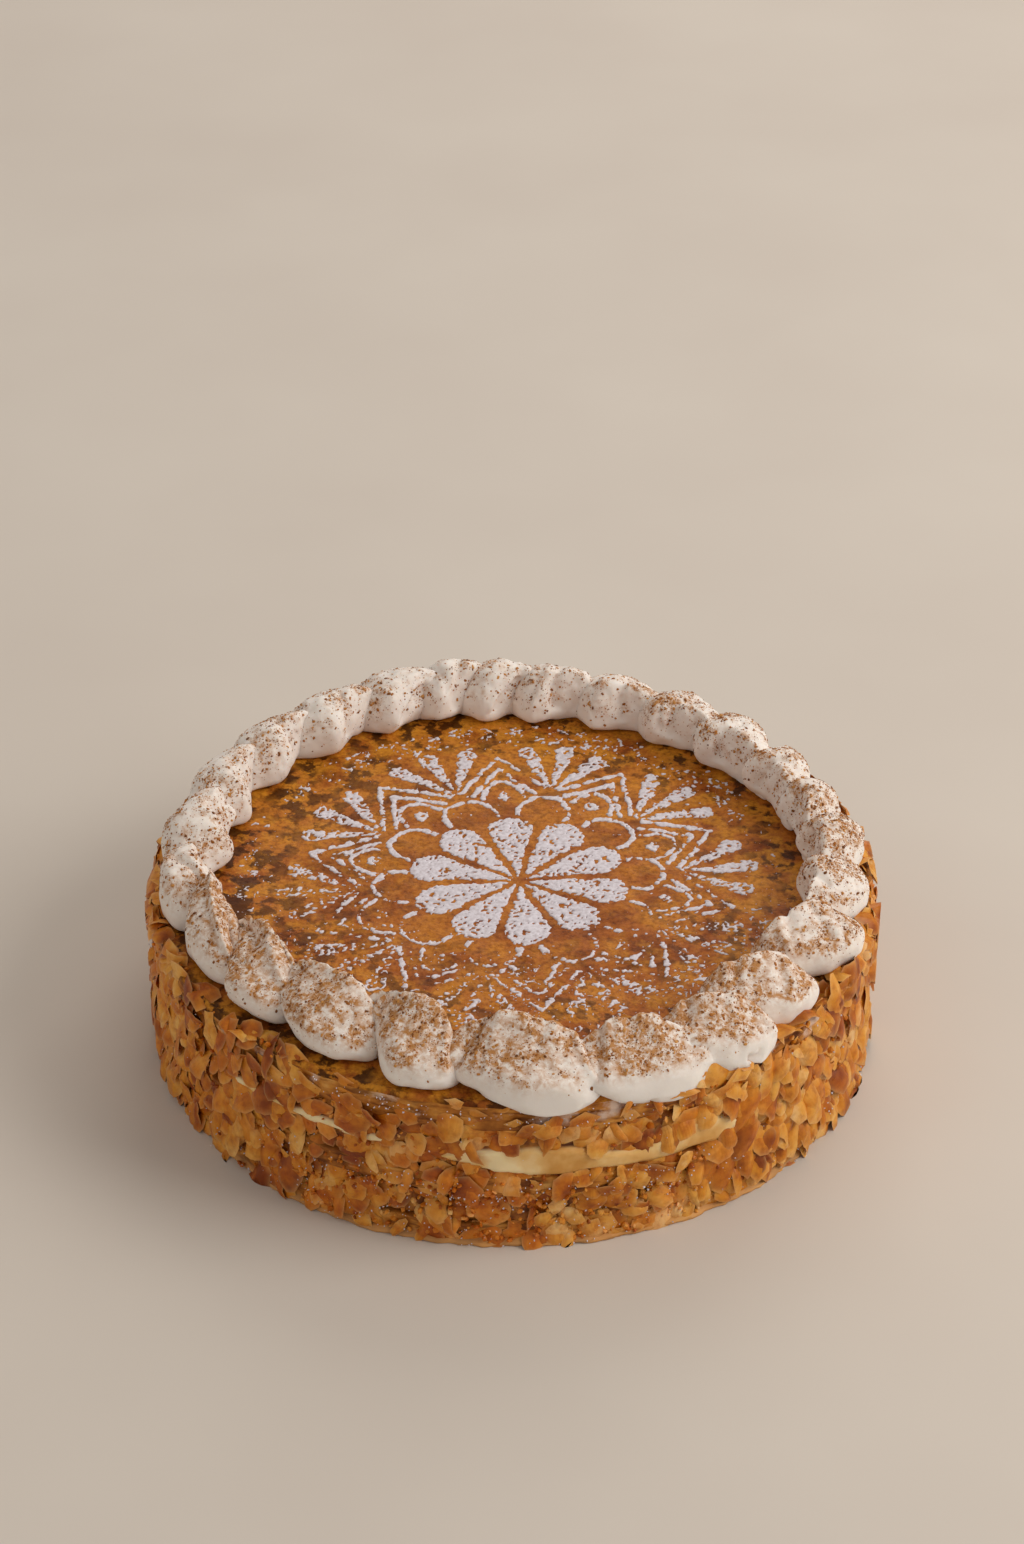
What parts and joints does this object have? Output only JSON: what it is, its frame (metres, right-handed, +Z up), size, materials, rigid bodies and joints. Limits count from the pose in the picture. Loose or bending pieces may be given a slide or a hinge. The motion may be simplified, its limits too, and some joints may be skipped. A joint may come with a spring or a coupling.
{
  "type": "mille-feuille",
  "caption": "Round whole mille-feuille: puff pastry discs with custard between, flaked pastry sides, a sugar stencil on top and a ring of piped cream dusted with cocoa.",
  "frame": {"origin": "centre of the flat base, on the surface it rests on", "axes": "+Z up through the layers; -Y is the front, which the picture shows nearest"},
  "size_m": [0.2582, 0.258, 0.0809],
  "materials": {
    "puff_pastry": "baked, caramelised and flaky, matt with slightly glossy sugar patches",
    "custard": "smooth set custard, satin",
    "whipped_cream": "soft whipped cream, matt to satin",
    "icing_sugar": "fine white powder, matt",
    "cocoa": "fine brown powder, matt"
  },
  "bodies": {
    "root": {"bottom_pastry": "puff_pastry", "lower_custard": "custard", "middle_pastry": "puff_pastry", "upper_custard": "custard", "top_pastry": "puff_pastry", "cream_swirl_01": "whipped_cream", "cream_swirl_02": "whipped_cream", "cream_swirl_03": "whipped_cream", "cream_swirl_04": "whipped_cream", "cream_swirl_05": "whipped_cream", "cream_swirl_06": "whipped_cream", "cream_swirl_07": "whipped_cream", "cream_swirl_08": "whipped_cream", "cream_swirl_09": "whipped_cream", "cream_swirl_10": "whipped_cream", "cream_swirl_11": "whipped_cream", "cream_swirl_12": "whipped_cream", "cream_swirl_13": "whipped_cream", "cream_swirl_14": "whipped_cream", "cream_swirl_15": "whipped_cream", "cream_swirl_16": "whipped_cream", "cream_swirl_17": "whipped_cream", "cream_swirl_18": "whipped_cream", "cream_swirl_19": "whipped_cream", "cream_swirl_20": "whipped_cream", "cream_swirl_21": "whipped_cream", "cream_swirl_22": "whipped_cream", "cream_swirl_23": "whipped_cream", "cream_swirl_24": "whipped_cream", "cream_swirl_25": "whipped_cream"}
  },
  "joints": []
}
